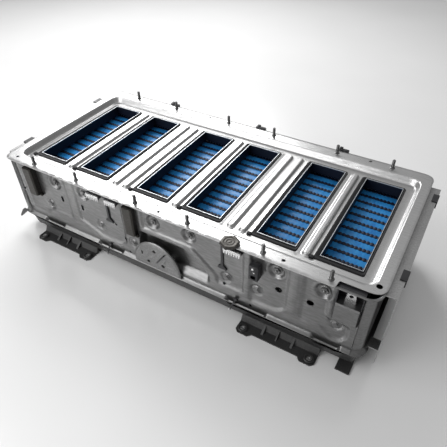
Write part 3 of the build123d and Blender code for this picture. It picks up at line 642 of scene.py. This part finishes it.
def build_sides():
    """The plain walls round the ends and the back, with the same flange and ledge."""
    corners = [((-front_flat, -WALL_Y + WALL_CORNER), 270, 180), ((-front_flat, WALL_Y - WALL_CORNER), 180, 90),
               ((front_flat, WALL_Y - WALL_CORNER), 90, 0), ((front_flat, -WALL_Y + WALL_CORNER), 0, -90)]
    path = []
    for centre, start, end in corners:
        for angle in np.radians(np.linspace(start, end, 13)):
            out = (math.cos(angle), math.sin(angle))
            path.append((centre[0] + WALL_CORNER * out[0], centre[1] + WALL_CORNER * out[1], out))
    v = np.array(stops(LEDGE_START, FLANGE_END, 14, (LEDGE + BEND - 2, wall_top - BEND + 2), 0.8, 4))
    reach, height, turn = shift_profile(v)
    outer = np.column_stack([reach, height])
    inner = outer - SHEET * np.column_stack([np.cos(turn), np.sin(turn)])
    ring = np.vstack([outer, inner[::-1]])
    rows = [[(x + out[0] * o, y + out[1] * o, z) for o, z in ring] for x, y, out in path]
    swept("case_sides", rows, "case_steel", closed_path=False, replaces=["case_body"])


build_front()
build_sides()




# --- Window seals, collars and modules ------------------------------------------------------------------


def build_seal(number):
    low, high = seal_boxes[number - 1]
    collar_low, collar_high = box_mm(f"air_collar_{number}")
    inner_low, inner_high = collar_low + 0.2, collar_high - 0.2
    rows = []
    steps = 9
    for sx, sy, start in ((-1, -1, 180), (1, -1, 270), (1, 1, 0), (-1, 1, 90)):
        out_centre = ((high if sx > 0 else low)[0] - sx * 5, (high if sy > 0 else low)[1] - sy * 5)
        in_centre = ((inner_high if sx > 0 else inner_low)[0] - sx * 3,
                     (inner_high if sy > 0 else inner_low)[1] - sy * 3)
        for o, i in zip(arc(out_centre, 5, start, start + 90, steps), arc(in_centre, 3, start, start + 90, steps)):
            at = [np.array(o) + (np.array(i) - np.array(o)) * t for t in (0, 0.06, 0.25, 0.6, 0.92, 1)]
            heights = [low[2], high[2] - 1.6, high[2], high[2] - 0.4, high[2] - 1.4, low[2]]
            rows.append([(p[0], p[1], z) for p, z in zip(at, heights)])
    name = f"window_seal_{number}"
    swept("seal_ring_" + str(number), rows, "rubber", replaces=[name])
    tab = Solid()
    tab.block((low[0] - 1.5, low[1] + 3, (low[2] + high[2]) / 2 + 0.5), (9, 8, 6), 1.0)
    tab.finish("seal_tab_" + str(number), "rubber", replaces=[name])


CELLS = 12
CELL_GAP = 3.0


def build_module(number):
    low, high = box_mm(f"module_{number}_cells")
    pitch = (high[1] - low[1] + CELL_GAP) / CELLS
    cells = Solid()
    middle = (low + high) / 2
    for k in range(CELLS):
        y = low[1] + (k + 0.5) * pitch - CELL_GAP / 2
        cells.block((middle[0], y, middle[2]), (high[0] - low[0], pitch - CELL_GAP, high[2] - low[2]), 2.6)
    cells.finish(f"cells_{number}", "cell_film", replaces=[f"module_{number}_cells"])
    fence_low, fence_high = box_mm(f"module_{number}_separators")
    rows = []
    points, faces = [], []
    for k in range(CELLS + 1):
        y = low[1] + k * pitch - CELL_GAP / 2
        rows = []
        for x in np.arange(fence_low[0], fence_high[0] + 0.1, 1.0):
            wave = abs(math.sin(math.pi * (x - fence_low[0]) / 8))
            # The crests spread wider than the gap, over the cells' rounded top edges: the near-black fences are real
            # separators and partly painted shade between the cells.
            half, crest = 3.3 + 1.7 * wave, high[2] + 0.2 + 1.0 * wave
            rows.append([(x, y - 1.5, fence_low[2]), (x, y - 1.5, high[2] - 4), (x, y - half, high[2] - 1.5),
                         (x, y - half + 0.8, crest), (x, y + half - 0.8, crest), (x, y + half, high[2] - 1.5),
                         (x, y + 1.5, high[2] - 4), (x, y + 1.5, fence_low[2])])
        start, count = len(points), 8
        points += [p for row in rows for p in row]
        for r in range(len(rows) - 1):
            for c in range(count):
                a, b = start + r * count + c, start + r * count + (c + 1) % count
                faces.append((a, b, b + count, a + count))
        faces.append(tuple(start + c for c in range(count))[::-1])
        faces.append(tuple(start + (len(rows) - 1) * count + c for c in range(count)))
    add_mesh(f"fences_{number}", points, faces, "separator_plastic", replaces=[f"module_{number}_separators"])


for number in range(1, 7):
    build_seal(number)
    build_module(number)


# --- Fasteners ------------------------------------------------------------------------------------------


def hexagon(centre, flats, turn=0):
    return [(centre[0] + flats / math.sqrt(3) * math.cos(math.radians(60 * k + turn)),
             centre[1] + flats / math.sqrt(3) * math.sin(math.radians(60 * k + turn))) for k in range(6)]


def thread(radius, start, end, pitch=1.5):
    """Radius and height pairs of a threaded rod with a chamfered end."""
    out = []
    height = start
    while height < end - 1.5:
        out += [(radius, height), (radius - 0.45, height + pitch / 2)]
        height += pitch
    return out + [(radius - 0.2, end - 1.2), (radius - 1.1, end)]


def build_fasteners():
    studs = Solid()
    stud_low, stud_high = box_mm("duct_studs")
    stud_y = stud_high[1] - 3.5
    for x in window_x:
        for side in (-1, 1):
            foot = (x, side * stud_y, rim)
            height = stud_high[2] - rim
            studs.turned(foot, (0, 0, 1), [(5.6, 0), (5.6, 0.7), (4.2, 1.4)] + thread(3.5, 1.8, height), 20)
    studs.finish("threaded_studs", "stud_steel", replaces=["duct_studs"])
    nuts = Solid()
    for at in NUTS:
        front = lambda u, v, w: (u, -186 - w, v)
        nuts.turned((at[0], -186, at[1]), (0, -1, 0), [(9.5, 0), (9.5, 0.8), (7.6, 1.6)], 28)
        nuts.prism(hexagon(at, 13, 12), front, 5.6, 0.5)
        nuts.turned((at[0], -191, at[1]), (0, -1, 0), thread(3.2, 0, 3.0, 1.0), 16)
    nuts.finish("flange_nuts", "nut_steel", replaces=["wall_nuts"])
    screws = Solid()
    for x, z in SCREWS + [LOW_SCREW]:
        y = -195 if (x, z) == LOW_SCREW else -191
        place = lambda u, v, w: (u, y - w, v)
        screws.turned((x, y, z), (0, -1, 0), [(7.2, 0), (7.2, 0.7), (5.8, 1.2)], 28)
        screws.prism(hexagon((x, z), 9.6, 20), place, 3, 0.5)
    screws.finish("flange_screws", "nut_steel", replaces=["wall_screws"])
    collars = Solid()
    bolts = Solid()
    for centre in (-302, 271):
        for x in (centre - 73, centre + 73):
            for y in (-209, 209):
                collars.turned((x, y, 3), (0, 0, 1), [(10.5, 0), (10.5, 2.6), (9.4, 3.6), (6.2, 3.6), (6.2, 1.0)], 28)
                bolts.turned((x, y, 3), (0, 0, 1), [(6.0, 0.4), (6.0, 1.4), (4.2, 2.2), (2.2, 2.2), (1.8, 1.6)], 24)
    collars.finish("foot_collars", "dark_steel")
    bolts.finish("foot_bushes", "fastener_steel")


build_fasteners()


# --- Front fittings -------------------------------------------------------------------------------------


def front_of(y):
    """Places a flat outline of the front wall at depth y, growing outward."""
    return lambda u, v, w: (u, y - w, v)


def build_fittings():
    channels = Solid()
    for x, back in ((-362, -191), (-75, -195)):
        left, right, front, wall = x - 13, x + 13, -207, 1.8
        profile = [(left, back), (left, front + 3), (left + 3, front), (right - 3, front), (right, front + 3),
                   (right, back), (right - wall, back), (right - wall, front + 3.6), (right - 3.6, front + wall),
                   (left + 3.6, front + wall), (left + wall, front + 3.6), (left + wall, back)]
        channels.prism(profile, lambda u, v, w: (u, v, 136.8 + w), 70, 0.3)
        channels.block((x, (front + back) / 2 + 1, 205.6), (25, back - front - 2, 2.2), 0.5)
        channels.block((x, back - 2.4, 134.8), (32, 4.8, 5.6), 1.2)
        channels.block((x + 12, back - 3.5, 133.8), (9, 7, 4), 1.2)
    channels.finish("bent_channels", "channel_steel", replaces=["channel_brackets"])
    combs = Solid()
    backing = Solid()
    for left, right in ((-184, -150), (-134, -104), (150, 186)):
        teeth = [(left, 205), (left, 200)]
        count = round((right - left) / 5)
        pitch = (right - left) / count
        for k in range(count):
            start = left + k * pitch
            teeth += [(start + 0.4, 199.5), (start + 1.0, 194), (start + pitch - 1.6, 193.2), (start + pitch - 1.0, 199)]
        teeth += [(right, 200), (right, 205)]
        combs.prism(teeth[::-1], front_of(-203.4), 1.5, 0.25)
        combs.block(((left + right) / 2, -203, 205.6), (right - left, 4, 1.8), 0.5)
        backing.block(((left + right) / 2, -198, 203.6), (right - left + 4, 8, 5), 1.2)
        backing.block((left + 2, -201.5, 202.2), (3, 5, 8.6), 1.0)
        backing.block((right - 2, -201.5, 202.2), (3, 5, 8.6), 1.0)
    combs.finish("comb_teeth", "bright_steel", replaces=["wire_rails"])
    backing.finish("comb_backing", "black_plastic", replaces=["wire_rails"])
    straps = Solid()
    for x in (-142, 141):
        shape = [(x - 2.4, 206.8), (x - 2.4, 146), (x - 9, 141.5), (x - 10, 137), (x - 6, 136), (x + 6, 136),
                 (x + 10, 134.5), (x + 9.5, 139), (x + 2.4, 146), (x + 2.4, 206.8)]
        straps.prism(rounded_corners(shape, 1.2, 4)[::-1], front_of(-191), 3, 0.6)
        straps.block((x, -193.6, 203.5), (9, 5, 5), 1.0)
    straps.finish("moulded_straps", "black_plastic", replaces=["hold_down_straps"])
    arch_low, arch_high = box_mm("arch_plate")
    middle, reach, rise = (arch_low[0] + arch_high[0]) / 2, (arch_high[0] - arch_low[0]) / 2, arch_high[2] - LEDGE
    outline = [(middle + reach * math.cos(a), LEDGE + rise * math.sin(a) ** 0.92) for a in np.linspace(0, math.pi, 49)]
    outline = [(x, z) for x, z in outline]
    relief = Relief((middle - reach, LEDGE), (middle + reach, arch_high[2]))
    relief.height += 2.6 * relief.mask(outline, 1.2, 1.2) - 2.6
    for a, b, r in (((-37, 96), (-20, 104), 7),):
        pad = [(a[0], a[1] - r), (b[0], b[1] - r), (b[0], b[1] + r), (a[0], a[1] + r)]
        relief.height -= 1.2 * relief.mask(rounded_corners(pad, 4), 1)
    relief.height -= 1.4 * relief.mask(circle((18, 92), 11), 1.3)
    holes = [circle((-18, 113), 4, 20), circle((-37, 77), 4, 20), circle((1, 79), 4.5, 20),
             rounded_corners([(-54, 92), (-50, 92), (-50, 102), (-54, 102)], 1.9)]

    def arch(flat):
        height, slope_x, slope_z = relief.at(flat)
        normal = np.column_stack([-slope_x, -np.ones(len(flat)), -slope_z])
        normal /= np.linalg.norm(normal, axis=1)[:, None]
        return np.column_stack([flat[:, 0], arch_low[1] - height, flat[:, 1]]), normal

    lines = (stops(middle - reach + 1, middle + reach - 1, 2), stops(LEDGE + 1, arch_high[2] - 1, 2))
    pressed_sheet("arch_shield", divided(outline, 3), holes, lines, arch, "arch_steel", ["arch_plate"], 4.5)
    rod = Solid()
    turn = Vector((22, 0, 31)).to_track_quat("Z", "Y").to_matrix().to_4x4()
    rod.block((-2, -206, 100.5), (4, 3, 38), 1.2, turn)
    rod.finish("arch_rod", "black_plastic")
    hex_low, hex_high = box_mm("hex_plate")
    centre = ((hex_low[0] + hex_high[0]) / 2, (hex_low[1] + hex_high[1]) / 2)
    mark = Relief(hex_low[:2], hex_high[:2])
    mark.height -= 1.6 * (1 - mark.mask(hexagon(centre, 32, 30), 0.9, 0.4))
    for radius, lift in ((11, -0.8), (8.5, 0.8), (6, -0.8), (3.4, 0.8)):
        mark.height += lift * mark.mask(circle(centre, radius, 32), 0.7)

    def plate(flat):
        height, slope_x, slope_y = mark.at(flat)
        normal = np.column_stack([-slope_x, -slope_y, np.ones(len(flat))])
        normal /= np.linalg.norm(normal, axis=1)[:, None]
        return np.column_stack([flat, hex_high[2] + height]), normal

    lines = (stops(hex_low[0], hex_high[0], 1.2), stops(hex_low[1], hex_high[1], 1.2))
    outline = divided(rounded_corners(hexagon(centre, 34, 30), 2.5), 2)
    pressed_sheet("hex_cap", outline, [], lines, plate, "channel_steel", ["hex_plate"], 4.2)
    box = Solid()
    box.block((214, -199, 172), (20, 16, 36), 2.2)
    box.block((214, -206.4, 181), (13, 2.5, 12), 0.8)
    box.block((214, -206, 163), (11, 2, 10), 0.8)
    box.finish("plug_housing", "black_plastic", replaces=["connector_box"])
    contact = Solid()
    contact.block((213, -207.6, 184), (4.5, 1.6, 5), 0.7)
    contact.block((216, -207.2, 176), (3, 1.4, 3), 0.6)
    contact.finish("plug_contact", "bright_steel")
    clips = Solid()
    tips = Solid()
    for x in (-158, 168):
        tilt = Vector((0.34, 0.25, 1)).to_track_quat("Z", "Y").to_matrix().to_4x4()
        clips.block((x + 2, -201.5, 56), (4.5, 3.4, 32), 1.2, tilt)
        clips.block((x + 7, -199.0, 71), (9, 5, 4), 1.2)
        tips.turned((x - 4, -204.4, 40), (0, -1, 0), [(3.2, 0), (3.2, 1.2), (2.2, 2.0)], 20)
    clips.finish("ledge_pins", "black_plastic", replaces=["ledge_clips"])
    tips.finish("ledge_pin_heads", "fastener_steel")
    tab_low, tab_high = box_mm("earth_tab")
    tab_x = (tab_low[0] + tab_high[0]) / 2
    tab = [(tab_low[0], tab_low[2]), (tab_high[0], tab_low[2]), (tab_high[0] - 3, tab_high[2]), (tab_low[0] + 3, tab_high[2])]
    earth_lines = (stops(tab_low[0], tab_high[0], 1.5), stops(tab_low[2], tab_high[2], 1.5))

    def earth(flat):
        return (np.column_stack([flat[:, 0], np.full(len(flat), tab_low[1]), flat[:, 1]]),
                np.tile((0.0, -1.0, 0.0), (len(flat), 1)))

    pressed_sheet("earth_lug", divided(rounded_corners(tab, 3.5), 2), [circle((tab_x, tab_high[2] - 10), 3.6, 20)],
                  earth_lines, earth, "bright_steel", ["earth_tab"], 2.2)
    behind = Solid()
    for x in (-238, 20, 232):
        behind.block((x, 204.5, 214), (26, 7, 9), 1.4)
        behind.block((x - 6, 206.5, 217), (8, 6, 9), 1.4)
    behind.finish("back_clips", "black_plastic")


build_fittings()


# --- Floor and light ------------------------------------------------------------------------------------


def add_floor():
    size = 6.0
    mesh = bpy.data.meshes.new("floor")
    mesh.from_pydata([(-size, -size, 0), (size, -size, 0), (size, size, 0), (-size, size, 0)], [],
                     [(0, 1, 2, 3)])
    floor = bpy.data.objects.new("floor", mesh)
    scene.collection.objects.link(floor)
    g = Graph("floor")
    g.set(Base_Color=g.mix(g.spread(g.noise(2, 2), 0, 1), grey(0.80), grey(0.84)), Roughness=0.3, Coat_Weight=1.0, Coat_Roughness=0.22, Coat_IOR=1.9)
    mesh.materials.append(g.material)


def add_light(name, place, target, size, power):
    data = bpy.data.lights.new(name, "AREA")
    data.shape = "RECTANGLE"
    data.size, data.size_y = size
    data.energy = power
    light = bpy.data.objects.new(name, data)
    scene.collection.objects.link(light)
    aim = Vector(target) - Vector(place)
    light.matrix_world = Matrix.Translation(place) @ aim.to_track_quat("-Z", "Y").to_matrix().to_4x4()


def add_world():
    world = bpy.data.worlds.new("studio")
    scene.world = world
    world.use_nodes = True
    tree = world.node_tree
    back = tree.nodes["Background"]
    place = tree.nodes.new("ShaderNodeTexCoord").outputs["Generated"]
    split = tree.nodes.new("ShaderNodeSeparateXYZ")
    tree.links.new(place, split.inputs[0])
    ramp = tree.nodes.new("ShaderNodeValToRGB")
    tree.links.new(split.outputs["Z"], ramp.inputs[0])
    stops = ramp.color_ramp.elements
    stops[0].position, stops[0].color = 0.0, grey(0.22)
    stops[1].position, stops[1].color = 1.0, grey(0.5)
    seen = tree.nodes.new("ShaderNodeLightPath").outputs["Is Camera Ray"]
    mixed = tree.nodes.new("ShaderNodeMix")
    mixed.data_type = "RGBA"
    tree.links.new(seen, mixed.inputs["Factor"])
    tree.links.new(ramp.outputs[0], mixed.inputs[6])
    mixed.inputs[7].default_value = grey(0.93)
    tree.links.new(mixed.outputs[2], back.inputs["Color"])
    back.inputs["Strength"].default_value = 1.0


add_floor()
add_light("key", (-1.3, 1.4, 1.5), (-0.3, 0, 0.2), (1.6, 1.0), 48)
add_light("slopes", (-0.95, -1.25, 1.55), (0, -0.1, 0.1), (1.8, 0.9), 17)
add_light("low", (-0.9, -1.95, 0.66), (-0.1, -0.2, 0.1), (1.7, 0.4), 15)
add_world()
